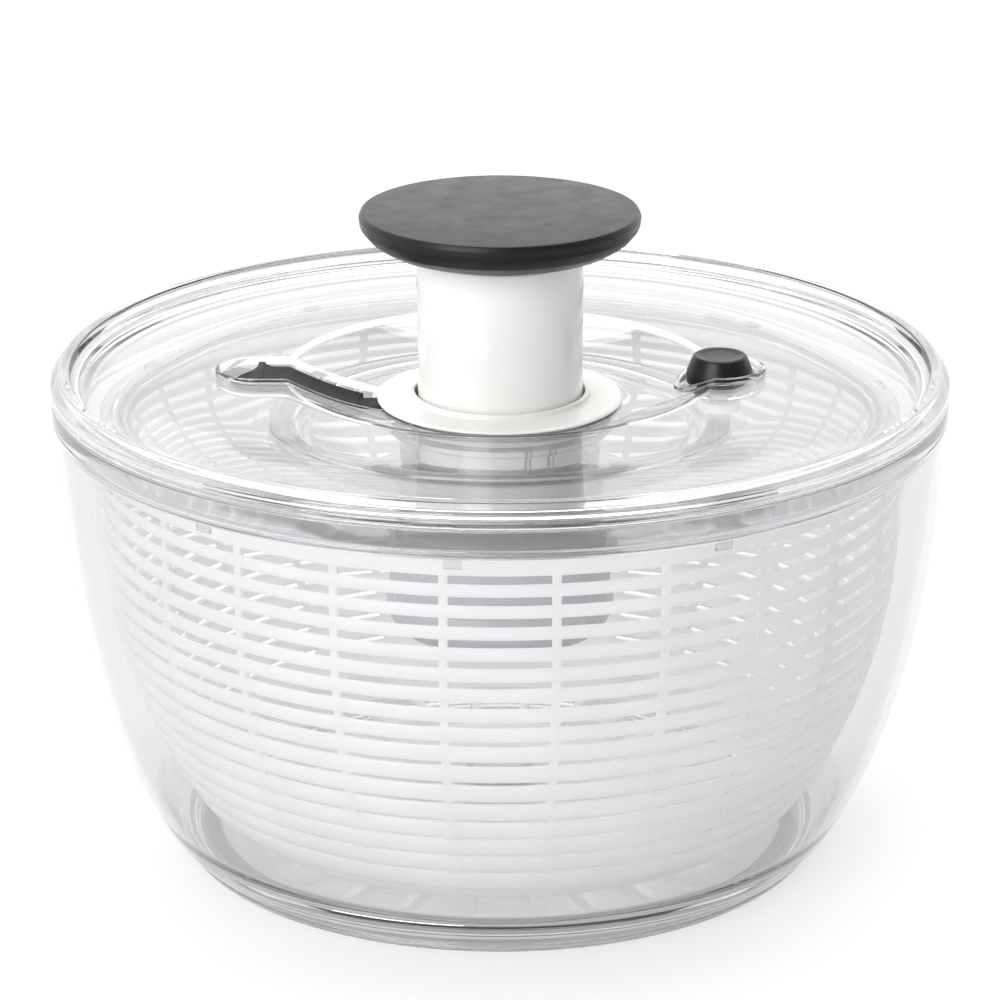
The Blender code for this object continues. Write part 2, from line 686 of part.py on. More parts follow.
def make_knob_core():
    profile = [(0, 192.3), (38.6, 192.0), (39.6, 191.2), (38.2, 188.4), (34.0, 185.2)]
    profile += [(28.0, 183.6), (26.6, 183.2), (26.6, 181.6), (0, 181.6)]
    core = turned("knob_core", profile, "black_rigid", MID_STEPS)
    for index, (x, y) in enumerate(screw_places()):
        boolean(core, pin(f"core_hole_{index}", x, y, 1.6, 178, 189, sides=10))


def make_knob_cap():
    profile = [(0, KNOB_TOP), (40.4, 194.1), (41.3, 193.6), (KNOB_RADIUS, 192.4)]
    profile += [(41.3, 189.8), (38.8, 186.8), (34.6, 184.0), (27.2, 181.9)]
    profile += [(27.2, 183.1), (34.2, 184.8), (38.6, 188.1), (40.0, 191.2), (38.8, 192.3)]
    profile += [(0, 192.6)]
    turned("knob_cap", profile, "black_soft", MID_STEPS)


def screw_mesh():
    """Round-headed self-tapping screw, head down, with the head's underside at Z = 0."""
    shape = bmesh.new()
    place = Matrix.Translation((0, 0, -SCREW_HEAD / 2 * MM))
    bmesh.ops.create_cone(shape, cap_ends=True, segments=10, radius1=2.2 * MM, radius2=2.6 * MM,
                          depth=SCREW_HEAD * MM, matrix=place)
    cap = max(shape.faces, key=lambda face: face.calc_center_median().z)
    bmesh.ops.inset_region(shape, faces=[cap], thickness=1.25 * MM)
    shank = bmesh.ops.extrude_discrete_faces(shape, faces=[cap])["faces"][0]
    bmesh.ops.translate(shape, verts=shank.verts, vec=(0, 0, SCREW_LENGTH * MM))
    mesh = bpy.data.meshes.new("knob_screw")
    shape.to_mesh(mesh)
    shape.free()
    smooth(mesh)
    return mesh


def make_knob_screws():
    """Three screws up through spindle flange and tube top into the knob's core."""
    seat = TUBE_TOP - TUBE_WALL - GAP - SPINDLE_FLANGE - GAP
    for number, (x, y) in enumerate(screw_places(), start=1):
        item = add_object(f"knob_screw_{number}", screw_mesh(), "screw_steel")
        item.location = (x * MM, y * MM, seat * MM)


def make_all():
    make_bowl()
    make_non_slip_ring()
    make_pivot_bush()
    make_basket()
    make_lid_shell()
    make_collar()
    make_guide_sleeve()
    make_lock_lever()
    make_brake()
    make_turntable_disc()
    make_brake_ring()
    make_hub_cup()
    make_bearing_ring()
    make_ratchet_ring()
    make_clutch_drum()
    make_pawl_plate()
    make_drive_nut()
    make_thrust_washer()
    make_plunger_tube()
    make_spindle()
    make_return_spring()
    make_knob_core()
    make_knob_cap()
    make_knob_screws()


make_all()
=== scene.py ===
"""Looks for the push-down salad spinner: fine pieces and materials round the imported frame.

Lengths are in millimetres, turned into Blender's metres by MM. The frame's origin is at the
centre of the base, with the lock lever towards -X and the brake button towards +X.
"""
import json
import math

import bmesh
import bpy
from mathutils import Matrix, Vector


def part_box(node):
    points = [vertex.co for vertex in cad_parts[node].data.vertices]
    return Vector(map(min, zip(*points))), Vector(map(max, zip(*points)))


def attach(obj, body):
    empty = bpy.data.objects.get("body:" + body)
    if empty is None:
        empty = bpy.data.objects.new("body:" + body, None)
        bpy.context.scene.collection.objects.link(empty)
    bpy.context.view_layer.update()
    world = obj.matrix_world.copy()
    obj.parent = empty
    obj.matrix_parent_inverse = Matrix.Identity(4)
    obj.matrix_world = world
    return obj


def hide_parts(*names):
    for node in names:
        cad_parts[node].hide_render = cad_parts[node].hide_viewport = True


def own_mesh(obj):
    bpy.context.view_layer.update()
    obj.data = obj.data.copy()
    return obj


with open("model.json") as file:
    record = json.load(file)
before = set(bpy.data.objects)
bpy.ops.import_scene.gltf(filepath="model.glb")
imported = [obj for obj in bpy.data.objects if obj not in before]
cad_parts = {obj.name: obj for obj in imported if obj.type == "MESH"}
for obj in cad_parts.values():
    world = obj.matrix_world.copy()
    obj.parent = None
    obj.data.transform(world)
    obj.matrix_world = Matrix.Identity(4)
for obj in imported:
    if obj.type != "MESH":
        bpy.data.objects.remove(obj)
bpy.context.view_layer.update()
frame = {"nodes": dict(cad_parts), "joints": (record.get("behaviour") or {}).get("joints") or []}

MM = 0.001
BIG_STEPS = 288           # facets round the bowl, basket and lid
MID_STEPS = 128           # facets round the tube, hub and knob
SMALL_STEPS = 64          # facets round the button and its stem


def span(node):
    """Outer radius from the axis, lowest and highest height of a CAD node."""
    low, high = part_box(node)
    return high.x / MM, low.z / MM, high.z / MM


def middle_x(node):
    """Place along X of a CAD node's middle."""
    low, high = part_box(node)
    return (low.x + high.x) / 2 / MM


def travel(name):
    """Travel of a sliding joint."""
    return [joint["range_m"][1] for joint in frame["joints"] if joint["name"] == name][0] / MM


# Sizes taken from the frame
RIM_RADIUS, BOWL_FOOT, BOWL_TOP = span("bowl")
RING_FOOT = span("non_slip_ring")[1]
BASKET_RADIUS, BASKET_LOW, BASKET_HIGH = span("basket")
LID_BEAD_TOP = span("lid_shell")[2]
COLLAR_RADIUS, COLLAR_LOW, COLLAR_HIGH = span("collar")
SLEEVE_LOW, SLEEVE_HIGH = span("guide_sleeve")[1:]
DISC_LOW, DISC_HIGH = span("turntable_disc")[1:]
TRACK_RADIUS, TRACK_LOW, TRACK_HIGH = span("brake_ring")
HUB_RADIUS, HUB_LOW, HUB_HIGH = span("hub_cup")
KNOB_RADIUS, KNOB_LOW, KNOB_HIGH = span("knob_cap")
TUBE_LOW, TUBE_HIGH = span("plunger_tube")[1:]
BUTTON_LOW, BUTTON_HIGH = span("brake_button")[1:]
STEM_LOW, STEM_HIGH = span("brake_stem")[1:]
PAD_LOW, PAD_HIGH = span("brake_pad")[1:]
BRAKE_X = middle_x("brake_stem")
RETURN_LOW, RETURN_HIGH = span("return_spring")[1:]
BRAKE_SPRING_LOW, BRAKE_SPRING_HIGH = span("brake_spring")[1:]
STROKE = travel("plunger_press")

# The lid's own surface, with its lever channel and brake well
LID_TOP = LID_BEAD_TOP - 3.2      # flat ring of the lid
LID_WALL = 2.4
DISH_RADIUS = 64.1                # the lid dishes down inside this circle
DISH_INNER = 37.5
DISH_FLOOR = LID_TOP - 9.1
LID_HOLE = 27.7
CHANNEL_HALF = 11.0               # half the lever channel's inner width
CHANNEL_END = -72.4               # centre of the channel's round outer end
CHANNEL_START = -22.0             # its inner end, inside the collar
CHANNEL_DEPTH = 6.0
CHANNEL_WALL = 1.4
TRAY_START = -30.5                # inner end of the tray that hangs round the channel
WELL_RADIUS = 12.0
WELL_WALL = 1.7
WELL_FLOOR = LID_TOP - 6.4
CHANNEL_LIP = 0.45                # height of the raised lips round channel and well
WELL_LIP = 1.0
LIP_SLOPE = 0.12                  # how the channel's lip rises from the collar outwards
LIP_EDGE = [(0.0, 0.4), (0.12, 0.12), (0.4, 0.0)]    # inset and drop of a lip's outer edge
MOUTH_ROUNDING = 0.6              # round inner edge of channel and well

# Heights of the lever's tongue, which goes through windows in the collar and the tube
TONGUE_LOW = 131.8
TONGUE_HIGH = 134.2

# Angles of the tube's guide lugs and of the rails they run between, in degrees
LUG_ANGLES = (-65.0, 115.0)


# ---------------------------------------------------------------- shape helpers

def rounded(corners, closed=True, steps=5):
    """Outline from corners (x, y, radius), each corner rounded by an arc."""
    points = []
    count = len(corners)
    for index, (x, y, radius) in enumerate(corners):
        is_end = not closed and index in (0, count - 1)
        if radius <= 0 or is_end:
            points.append((x, y))
            continue
        here = Vector((x, y))
        back = Vector(corners[index - 1][:2]) - here
        ahead = Vector(corners[(index + 1) % count][:2]) - here
        half = back.angle(ahead) / 2
        reach = min(radius / math.tan(half), 0.49 * back.length, 0.49 * ahead.length)
        fit = reach * math.tan(half)
        centre = here + (back.normalized() + ahead.normalized()).normalized() * fit / math.sin(half)
        first = here + back.normalized() * reach - centre
        last = here + ahead.normalized() * reach - centre
        start = math.atan2(first.y, first.x)
        turn = (math.atan2(last.y, last.x) - start + math.pi) % (2 * math.pi) - math.pi
        for step in range(steps + 1):
            angle = start + turn * step / steps
            points.append((centre.x + fit * math.cos(angle), centre.y + fit * math.sin(angle)))
    return points


def plain(points):
    """Points of a curve as corners that need no rounding."""
    return [(x, y, 0) for x, y in points]


def new_piece(name, mesh):
    """Object with this mesh, in the scene."""
    piece = bpy.data.objects.new(name, mesh)
    bpy.context.scene.collection.objects.link(piece)
    return piece


def mesh_from(name, shape, merge=True):
    """Mesh from a bmesh, welded, with its faces pointing out."""
    if merge:
        bmesh.ops.remove_doubles(shape, verts=shape.verts, dist=0.002 * MM)
    bmesh.ops.recalc_face_normals(shape, faces=shape.faces)
    mesh = bpy.data.meshes.new(name)
    shape.to_mesh(mesh)
    shape.free()
    return mesh


def grid(shape, rows, wrap_rows=False, wrap_columns=False):
    """Quads between rows of points, all rows the same length."""
    made = [[shape.verts.new((x * MM, y * MM, z * MM)) for x, y, z in row] for row in rows]
    row_pairs = list(zip(made, made[1:])) + ([(made[-1], made[0])] if wrap_rows else [])
    for upper, lower in row_pairs:
        columns = len(upper)
        for column in range(columns if wrap_columns else columns - 1):
            after = (column + 1) % columns
            shape.faces.new((upper[column], upper[after], lower[after], lower[column]))
    return made


def lathe(name, outline, steps=MID_STEPS, centre_x=0.0, closed=True):
    """Solid of revolution about the axis at centre_x. outline is (radius, height)."""
    angles = [2 * math.pi * step / steps for step in range(steps)]
    rows = [[(centre_x + radius * math.cos(angle), radius * math.sin(angle), height)
             for angle in angles] for radius, height in outline]
    shape = bmesh.new()
    grid(shape, rows, wrap_rows=closed, wrap_columns=True)
    return new_piece(name, mesh_from(name, shape))


def apply_modifiers(piece):
    """Turn the piece's modifiers into its mesh."""
    evaluated = piece.evaluated_get(bpy.context.evaluated_depsgraph_get())
    mesh = bpy.data.meshes.new_from_object(evaluated)
    piece.modifiers.clear()
    piece.data = mesh


def cut(piece, cutter, operation="DIFFERENCE"):
    """Boolean with a cutter that is used up."""
    modifier = piece.modifiers.new("cut", "BOOLEAN")
    modifier.operation = operation
    modifier.solver = "EXACT"
    modifier.object = cutter
    apply_modifiers(piece)
    bpy.data.objects.remove(cutter, do_unlink=True)


def join(piece, other):
    """Union with a piece that is used up."""
    cut(piece, other, "UNION")


def soften(piece, width, segments=3, degrees=40):
    """Round the piece's sharp edges."""
    bevel = piece.modifiers.new("soft_edges", "BEVEL")
    bevel.width = width * MM
    bevel.segments = segments
    bevel.limit_method = "ANGLE"
    bevel.angle_limit = math.radians(degrees)
    apply_modifiers(piece)


def smooth(piece, degrees=32):
    """Smooth shading, with edges sharper than this left crisp."""
    piece.data.shade_smooth()
    piece.data.set_sharp_from_angle(angle=math.radians(degrees))


def block(name, low, high, turn=0.0):
    """Box between two corners, turned about the axis by degrees."""
    size = [(top - bottom) * MM for bottom, top in zip(low, high)]
    centre = [(top + bottom) / 2 * MM for bottom, top in zip(low, high)]
    shape = bmesh.new()
    bmesh.ops.create_cube(shape, size=1.0)
    bmesh.ops.scale(shape, vec=size, verts=shape.verts)
    bmesh.ops.translate(shape, vec=centre, verts=shape.verts)
    bmesh.ops.rotate(shape, cent=(0, 0, 0), matrix=Matrix.Rotation(math.radians(turn), 3, "Z"),
                     verts=shape.verts)
    return new_piece(name, mesh_from(name, shape))


def lid_height(radius):
    """Height of the lid's top surface: flat outside the ridge, dished inside it."""
    if radius >= DISH_RADIUS:
        return LID_TOP
    if radius <= DISH_INNER:
        return DISH_FLOOR
    part = (radius - DISH_INNER) / (DISH_RADIUS - DISH_INNER)
    return DISH_FLOOR + (LID_TOP - DISH_FLOOR) * part ** 1.5


def finish_piece(piece, body, nodes, material, degrees=32):
    """Shading, finish and place in the assembly of a fine piece."""
    smooth(piece, degrees)
    piece.data.materials.clear()
    piece.data.materials.append(material)
    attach(piece, body)
    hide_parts(*nodes)
    return piece


# ---------------------------------------------------------------- materials

class Nodes:
    """Small helper to wire a node material."""

    def __init__(self, name):
        self.material = bpy.data.materials.new(name)
        self.material.use_nodes = True
        self.tree = self.material.node_tree
        self.shader = self.tree.nodes["Principled BSDF"]
        self.output = self.tree.nodes["Material Output"]
        self.place = self.tree.nodes.new("ShaderNodeTexCoord").outputs["Object"]

    def new(self, kind, **inputs):
        node = self.tree.nodes.new(kind)
        for key, value in inputs.items():
            node.inputs[key.replace("_", " ")].default_value = value
        return node

    def link(self, source, target):
        self.tree.links.new(source, target)

    def noise(self, scale, detail=3.0, stretch=None):
        """Noise whose scale is in features per metre."""
        node = self.new("ShaderNodeTexNoise", Scale=scale, Detail=detail)
        source = self.place
        if stretch:
            mapping = self.new("ShaderNodeMapping")
            mapping.inputs["Scale"].default_value = stretch
            self.link(source, mapping.inputs["Vector"])
            source = mapping.outputs["Vector"]
        self.link(source, node.inputs["Vector"])
        return node.outputs["Fac"]

    def spread(self, factor, low, high, middle=(0.3, 0.7)):
        """The middle of a factor's range spread between two values."""
        node = self.new("ShaderNodeMapRange")
        node.inputs["From Min"].default_value = middle[0]
        node.inputs["From Max"].default_value = middle[1]
        node.inputs["To Min"].default_value = low
        node.inputs["To Max"].default_value = high
        self.link(factor, node.inputs["Value"])
        return node.outputs["Result"]

    def mix(self, first, second):
        """Mix of two colours: the socket for the second one's share, and the result."""
        node = self.new("ShaderNodeMix")
        node.data_type = "RGBA"
        sockets = {socket.name: socket for socket in node.inputs if socket.enabled}
        sockets["A"].default_value = (*first, 1.0)
        sockets["B"].default_value = (*second, 1.0)
        result = [socket for socket in node.outputs if socket.enabled][0]
        return sockets["Factor"], result

    def colours(self, factor, first, second):
        share, result = self.mix(first, second)
        self.link(self.spread(factor, 0.0, 1.0), share)
        return result

    def math(self, operation, first, second):
        """Result of an operation on a socket and a second socket or plain number."""
        node = self.new("ShaderNodeMath")
        node.operation = operation
        self.link(first, node.inputs[0])
        if isinstance(second, float):
            node.inputs[1].default_value = second
        else:
            self.link(second, node.inputs[1])
        return node.outputs["Value"]

    def bump(self, heights, depth, strength=1.0, before=None):
        """Bump of this depth in metres, added to an earlier one."""
        node = self.new("ShaderNodeBump", Strength=strength, Distance=depth)
        self.link(heights, node.inputs["Height"])
        if before:
            self.link(before, node.inputs["Normal"])
        return node.outputs["Normal"]


def tinted(colour, share):
    """Colour darkened to a share of itself."""
    return tuple(channel * share for channel in colour)


def moulded_plastic(name, colour, roughness, grain=0.0, wave=0.0, coat=0.0, gloss=0.5):
    """Opaque plastic: slight mottling, uneven gloss, and an optional fine grain."""
    nodes = Nodes(name)
    shader = nodes.shader
    mottle = nodes.noise(55.0)
    nodes.link(nodes.colours(mottle, tinted(colour, 0.965), colour), shader.inputs["Base Color"])
    cloud = nodes.noise(140.0, 4.0)
    nodes.link(nodes.spread(cloud, roughness * 0.86, roughness * 1.14), shader.inputs["Roughness"])
    normal = None
    if wave:
        normal = nodes.bump(nodes.noise(32.0, 1.0), wave * MM)
    if grain:
        normal = nodes.bump(nodes.noise(2600.0, 2.0), grain * MM, 0.8, normal)
    if normal:
        nodes.link(normal, shader.inputs["Normal"])
    shader.inputs["Coat Weight"].default_value = coat
    shader.inputs["Coat Roughness"].default_value = 0.12
    shader.inputs["Specular IOR Level"].default_value = gloss
    return nodes.material


# Painted shade: clear plastic's colour is greyed where it is seen edge-on: (slant from which
# the painted shade starts, slant at which it is darkest, share of colour left there), for plain
# walls and for the lid with its low relief
WALL_EDGE_SHADE = (0.12, 0.75, 0.70)
LID_EDGE_SHADE = (0.59, 0.97, 0.45)
TRAPPED_DEPTH = 5.5        # light that has turned this often inside clear walls runs straight on
TRAPPED_SHARE = 0.84       # and keeps this much of itself at each face


def clear_plastic(name, tint, roughness, ior, wave, edge_shade=WALL_EDGE_SHADE):
    """Clear moulding that refracts what is behind it, its colour greyed edge-on as painted shade.

    Lamps shine straight through it, and so does light that would be trapped between its faces.
    """
    nodes = Nodes(name)
    shader = nodes.shader
    # painted shade: the colour greys the more edge-on the surface is seen, standing in for dark
    # reflections
    facing = nodes.new("ShaderNodeLayerWeight", Blend=0.5)
    low, high, shade_share = edge_shade
    share, tone = nodes.mix(tint, tinted(tint, shade_share))
    nodes.link(nodes.spread(facing.outputs["Facing"], 0.0, 1.0, (low, high)), share)
    nodes.link(tone, shader.inputs["Base Color"])
    nodes.link(nodes.spread(nodes.noise(90.0), roughness * 0.6, roughness * 1.4),
               shader.inputs["Roughness"])
    shader.inputs["Transmission Weight"].default_value = 1.0
    shader.inputs["IOR"].default_value = ior
    nodes.link(nodes.bump(nodes.noise(28.0, 1.0), wave * MM), shader.inputs["Normal"])
    path = nodes.new("ShaderNodeLightPath").outputs
    trapped = nodes.math("GREATER_THAN", path["Ray Depth"], TRAPPED_DEPTH)
    lamp = nodes.math("MAXIMUM", path["Is Shadow Ray"], path["Is Diffuse Ray"])
    through = nodes.new("ShaderNodeBsdfTransparent")
    face = tuple(channel ** 0.5 for channel in tint)
    share, result = nodes.mix(face, tinted(face, TRAPPED_SHARE))
    nodes.link(trapped, share)
    nodes.link(result, through.inputs["Color"])
    mix = nodes.new("ShaderNodeMixShader")
    nodes.link(nodes.math("MAXIMUM", lamp, trapped), mix.inputs["Fac"])
    nodes.link(shader.outputs["BSDF"], mix.inputs[1])
    nodes.link(through.outputs["BSDF"], mix.inputs[2])
    nodes.link(mix.outputs["Shader"], nodes.output.inputs["Surface"])
    return nodes.material


def translucent_plastic(name, colour, roughness, share):
    """Milky polypropylene: part of the light goes through the wall."""
    nodes = Nodes(name)
    shader = nodes.shader
    mottle = nodes.noise(45.0)
    tone = nodes.colours(mottle, tinted(colour, 0.97), colour)
    nodes.link(tone, shader.inputs["Base Color"])
    nodes.link(nodes.spread(nodes.noise(160.0, 4.0), roughness * 0.85, roughness * 1.15),
               shader.inputs["Roughness"])
    normal = nodes.bump(nodes.noise(600.0, 2.0), 0.004 * MM, 0.6)
    nodes.link(normal, shader.inputs["Normal"])
    milky = nodes.new("ShaderNodeBsdfTranslucent")
    nodes.link(tone, milky.inputs["Color"])
    nodes.link(normal, milky.inputs["Normal"])
    mix = nodes.new("ShaderNodeMixShader", Fac=share)
    nodes.link(shader.outputs["BSDF"], mix.inputs[1])
    nodes.link(milky.outputs["BSDF"], mix.inputs[2])
    nodes.link(mix.outputs["Shader"], nodes.output.inputs["Surface"])
    return nodes.material


def steel(name, colour, roughness):
    """Drawn steel wire or turned screw, with fine streaks."""
    nodes = Nodes(name)
    shader = nodes.shader
    streaks = nodes.noise(900.0, 3.0, (1.0, 1.0, 0.15))
    nodes.link(nodes.colours(streaks, tinted(colour, 0.86), colour), shader.inputs["Base Color"])
    nodes.link(nodes.spread(streaks, roughness * 0.8, roughness * 1.3), shader.inputs["Roughness"])
    nodes.link(nodes.bump(streaks, 0.003 * MM), shader.inputs["Normal"])
    shader.inputs["Metallic"].default_value = 1.0
    return nodes.material


CLEAR = clear_plastic("clear_san", (0.970, 0.968, 0.978), 0.010, 1.52, 0.003)
# the lid's copy is tinted greyer than the bowl's and greys more edge-on: painted shade on the lid
CLEAR_LID = clear_plastic("clear_lid_san", (0.932, 0.928, 0.940), 0.010, 1.52, 0.003, LID_EDGE_SHADE)
CLEAR_DRIVE = clear_plastic("clear_drive", (0.980, 0.983, 0.990), 0.03, 1.50, 0.010)
CLEAR_SOFT = clear_plastic("clear_soft", (0.95, 0.955, 0.965), 0.09, 1.45, 0.010)
MILKY = translucent_plastic("milky_polypropylene", (0.925, 0.922, 0.925), 0.36, 0.58)
WHITE_GLOSS = moulded_plastic("white_gloss", (0.85, 0.845, 0.822), 0.16, wave=0.01, coat=0.25)
NATURAL = moulded_plastic("natural_acetal", (0.84, 0.84, 0.81), 0.34, grain=0.002)
HUB_GREY = translucent_plastic("smoky_hub", (0.62, 0.62, 0.64), 0.28, 0.20)
BLACK_SOFT = moulded_plastic("black_soft_grip", (0.005, 0.005, 0.006), 0.34, grain=0.014, gloss=0.31)
BLACK_RIGID = moulded_plastic("black_rigid", (0.030, 0.030, 0.032), 0.38, grain=0.004)
DARK_GREY = moulded_plastic("dark_grey_lever", (0.018, 0.016, 0.015), 0.48, grain=0.004, gloss=0.12)
SPRING_STEEL = steel("spring_steel", (0.66, 0.66, 0.67), 0.26)
SCREW_STEEL = steel("screw_steel", (0.60, 0.60, 0.61), 0.30)


# ---------------------------------------------------------------- bowl

def bowl_radius(height):
    """Outer radius of the bowl's wall at a height."""
    part = height / 249.5
    return 97.2 + (RIM_RADIUS + 0.6 - 97.2) * (1 - (1 - part) ** 4.34) ** 0.88


BOWL_WALL = 2.6


def make_bowl():
    """Clear bowl with its rim, foot groove and the pin the basket turns on."""
    heights = [14 + 4 * step for step in range(30)]
    inner = [(bowl_radius(height) - BOWL_WALL, height) for height in heights]
    corners = [(0, 16.0, 0), (3.2, 16.0, 0.7), (3.9, 14.0, 0.6), (7.0, 6.0, 3.0), (96.0, 6.0, 3.5)]
    corners += plain(inner)
    corners += [(130.2, 133.0, 0), (130.2, BOWL_TOP, 0.9), (RIM_RADIUS - 0.15, BOWL_TOP, 0.9)]
    corners += [(RIM_RADIUS, BOWL_TOP - 6.6, 0.5), (bowl_radius(134.0), BOWL_TOP - 7.2, 0.6)]
    outer = [(bowl_radius(height), height) for height in heights if height < 131]
    corners += plain(outer[::-1])
    corners += [(bowl_radius(8.0), 8.0, 0), (98.6, BOWL_FOOT, 1.4), (94.3, BOWL_FOOT, 0.3)]
    corners += [(94.3, 4.6, 0.3), (90.7, 4.6, 0.3), (90.7, BOWL_FOOT, 0.3), (86.0, BOWL_FOOT, 0.6)]
    corners += [(82.0, 3.3, 2.0), (0, 3.4, 0)]
    bowl = lathe("bowl_clear", rounded(corners, closed=False), BIG_STEPS, closed=False)
    finish_piece(bowl, "base", ["bowl"], CLEAR)


def make_foot_ring():
    """Soft clear ring in the groove under the bowl, with two treads."""
    foot = RING_FOOT
    step = foot + 2.2
    corners = [(94.0, 4.3, 0.3), (94.0, step, 0), (98.4, step, 0.5), (97.1, foot, 0.9)]
    corners += [(93.6, foot, 0.3), (93.0, foot + 0.6, 0.3), (91.0, foot + 0.6, 0.3)]
    corners += [(90.4, foot, 0.3), (87.0, foot, 0.9), (86.4, step, 0.5), (91.0, step, 0)]
    corners += [(91.0, 4.3, 0.3)]
    ring = lathe("foot_ring", rounded(corners, steps=4), BIG_STEPS)
    finish_piece(ring, "base", ["non_slip_ring"], CLEAR_SOFT)


# ---------------------------------------------------------------- basket

POSTS = 24
POST_HALF = 1.25
SLOT_ROWS = 16
SLOT_HEIGHT = 2.3         # of the upper rows
SLOT_LOWEST = 0.6         # of the lowest row
SLOT_SHRINK_ROW = 2       # row from which the slots get lower
TOP_SLOT = BASKET_HIGH - 7.8
SLOT_COLUMNS = 6
RING_ROWS = 6
RING_BULGE = 0.75
BASKET_WALL = 1.7


def basket_radius(height):
    """Outer radius of the basket's wall at a height."""
    part = min(max((height - BASKET_LOW) / 90.2, 0.0), 1.0)
    return 87.6 + (BASKET_RADIUS - 87.6) * (1 - (1 - part) ** 1.92) ** 0.85


def slot_centres():
    """Heights of the slots' middles: rows close together above, wider apart below."""
    upper = [TOP_SLOT - 6.2 * row for row in range(9)]
    return upper + [upper[-1] - 6.7 * row for row in range(1, SLOT_ROWS - 8)]


def slot_half(row):
    """Half the height of a row's slots, counted from the top."""
    part = (max(row - SLOT_SHRINK_ROW, 0) / (SLOT_ROWS - 1 - SLOT_SHRINK_ROW)) ** 0.8
    return (SLOT_HEIGHT + (SLOT_LOWEST - SLOT_HEIGHT) * part) / 2


def basket_rows():
    """(radius, height, open) from the rim down the wall and across the floor to the boss."""
    centres = slot_centres()
    top = centres[0] + SLOT_HEIGHT / 2
    rows = []
    rim = [(0.0, 0.3), (0.25, 0.0), (0.9, 0.0), (1.2, 0.7), (1.8, 0.9)]
    for drop, inset in rim:
        height = BASKET_HIGH - drop
        rows.append((basket_radius(height) - inset, height, False))
    for step in range(1, 5):
        height = BASKET_HIGH - 1.8 - (BASKET_HIGH - 1.8 - top) * step / 5
        rows.append((basket_radius(height) - 0.55, height, False))
    for index, centre in enumerate(centres):
        high = centre + slot_half(index)
        low = centre - slot_half(index)
        rows.append((basket_radius(high) - RING_BULGE, high, True))
        below = 17.5
        if index + 1 < len(centres):
            below = centres[index + 1] + slot_half(index + 1)
        for step in range(RING_ROWS):
            part = step / RING_ROWS
            height = low + (below - low) * part
            bulge = RING_BULGE * (1 - math.sin(math.pi * part) ** 0.6)
            rows.append((basket_radius(height) - bulge, height, False))
    for step in range(7):
        angle = math.radians(90 * step / 6)
        rows.append((83.2 + 4.6 * math.cos(angle), 17.4 - 5.4 * math.sin(angle), False))
    rows += [(79.0, BASKET_LOW, False), (76.0, BASKET_LOW, True), (61.0, BASKET_LOW, True)]
    rows += [(46.0, BASKET_LOW, False), (30.0, BASKET_LOW, False), (9.6, BASKET_LOW, False)]
    rows += [(8.6, BASKET_LOW + 1.0, False), (8.6, BASKET_LOW + 7.5, False)]
    return rows


def make_basket():
    """Slotted basket: one skin with its slots left open, then thickened and rounded."""
    rows = basket_rows()
    shape = bmesh.new()
    columns = []
    for post in range(POSTS):
        centre = 2 * math.pi * (post + 0.5) / POSTS
        columns += [(centre, -1.0), (centre, 0.0), (centre, 1.0)]
        for step in range(1, SLOT_COLUMNS):
            columns.append((centre, 1.0 + step))
    points = []
    for radius, height, _ in rows:
        half = min(POST_HALF / radius, math.radians(3.0))
        gap = 2 * math.pi / POSTS - 2 * half
        row = []
        for centre, place in columns:
            angle = centre + half * min(place, 1.0) + gap * max(place - 1.0, 0.0) / SLOT_COLUMNS
            row.append((radius * math.cos(angle), radius * math.sin(angle), height))
        points.append(row)
    made = grid(shape, points, wrap_columns=True)
    step_columns = SLOT_COLUMNS + 2
    holes = []
    for index, row in enumerate(rows[:-1]):
        if not row[2]:
            continue
        for column in range(len(columns)):
            if column % step_columns < 2:
                continue
            after = (column + 1) % len(columns)
            corners = (made[index][column], made[index][after], made[index + 1][column])
            shared = set(corners[0].link_faces) & set(corners[1].link_faces)
            holes += list(shared & set(corners[2].link_faces))
    bmesh.ops.delete(shape, geom=holes, context="FACES")
    shape.normal_update()
    first = max(shape.faces, key=lambda face: face.calc_center_median().z)
    if first.normal.dot(first.calc_center_median()) < 0:
        bmesh.ops.reverse_faces(shape, faces=shape.faces)
    mesh = bpy.data.meshes.new("basket_slotted")
    shape.to_mesh(mesh)
    shape.free()
    basket = new_piece("basket_slotted", mesh)
    wall = basket.modifiers.new("wall", "SOLIDIFY")
    wall.thickness = BASKET_WALL * MM
    wall.offset = -1.0
    apply_modifiers(basket)
    soften(basket, 0.28, 2, 50)
    finish_piece(basket, "basket", ["basket"], MILKY, 40)


# ---------------------------------------------------------------- lid

def channel_outline(half, inner_x):
    """Points of the lever channel at one level: out along +Y, round the end, back along -Y."""
    side = [inner_x + (CHANNEL_END - inner_x) * step / 26 for step in range(26)]
    points = [(x, half) for x in side]
    for step in range(33):
        angle = math.radians(90 + 180 * step / 32)
        points.append((CHANNEL_END + half * math.cos(angle), half * math.sin(angle)))
    return points + [(x, -half) for x in side[::-1]]


def round_outline(radius):
    """Points round the brake well at one level."""
    points = []
    for step in range(64):
        angle = math.radians(360 * (step + 0.5) / 64)
        points.append((BRAKE_X + radius * math.cos(angle), radius * math.sin(angle)))
    return points


def stack(name, levels):
    """Closed solid from outlines of equal length, bottom first, capped in strips across Y."""
    shape = bmesh.new()
    made = grid(shape, levels, wrap_columns=True)
    for row in (made[0], made[-1]):
        count = len(row)
        for index in range((count - 1) // 2):
            corners = [row[index], row[index + 1], row[count - 2 - index], row[count - 1 - index]]
            shape.faces.new([v for n, v in enumerate(corners) if v not in corners[:n]])
    return new_piece(name, mesh_from(name, shape))


def on_lid(outline, offset):
    """Outline laid at an offset from the lid's top surface."""
    return [(x, y, lid_height(math.hypot(x, y)) + offset) for x, y in outline]


def lip_on_lid(outline, height, drop):
    """Outline at a drop below the top of the raised lip, which ends flush at the collar."""
    points = []
    for x, y in outline:
        radius = math.hypot(x, y)
        rise = min(height, max(radius - COLLAR_RADIUS - 2.0, 0.0) * LIP_SLOPE) - 0.05
        points.append((x, y, lid_height(radius) + rise - drop))
    return points


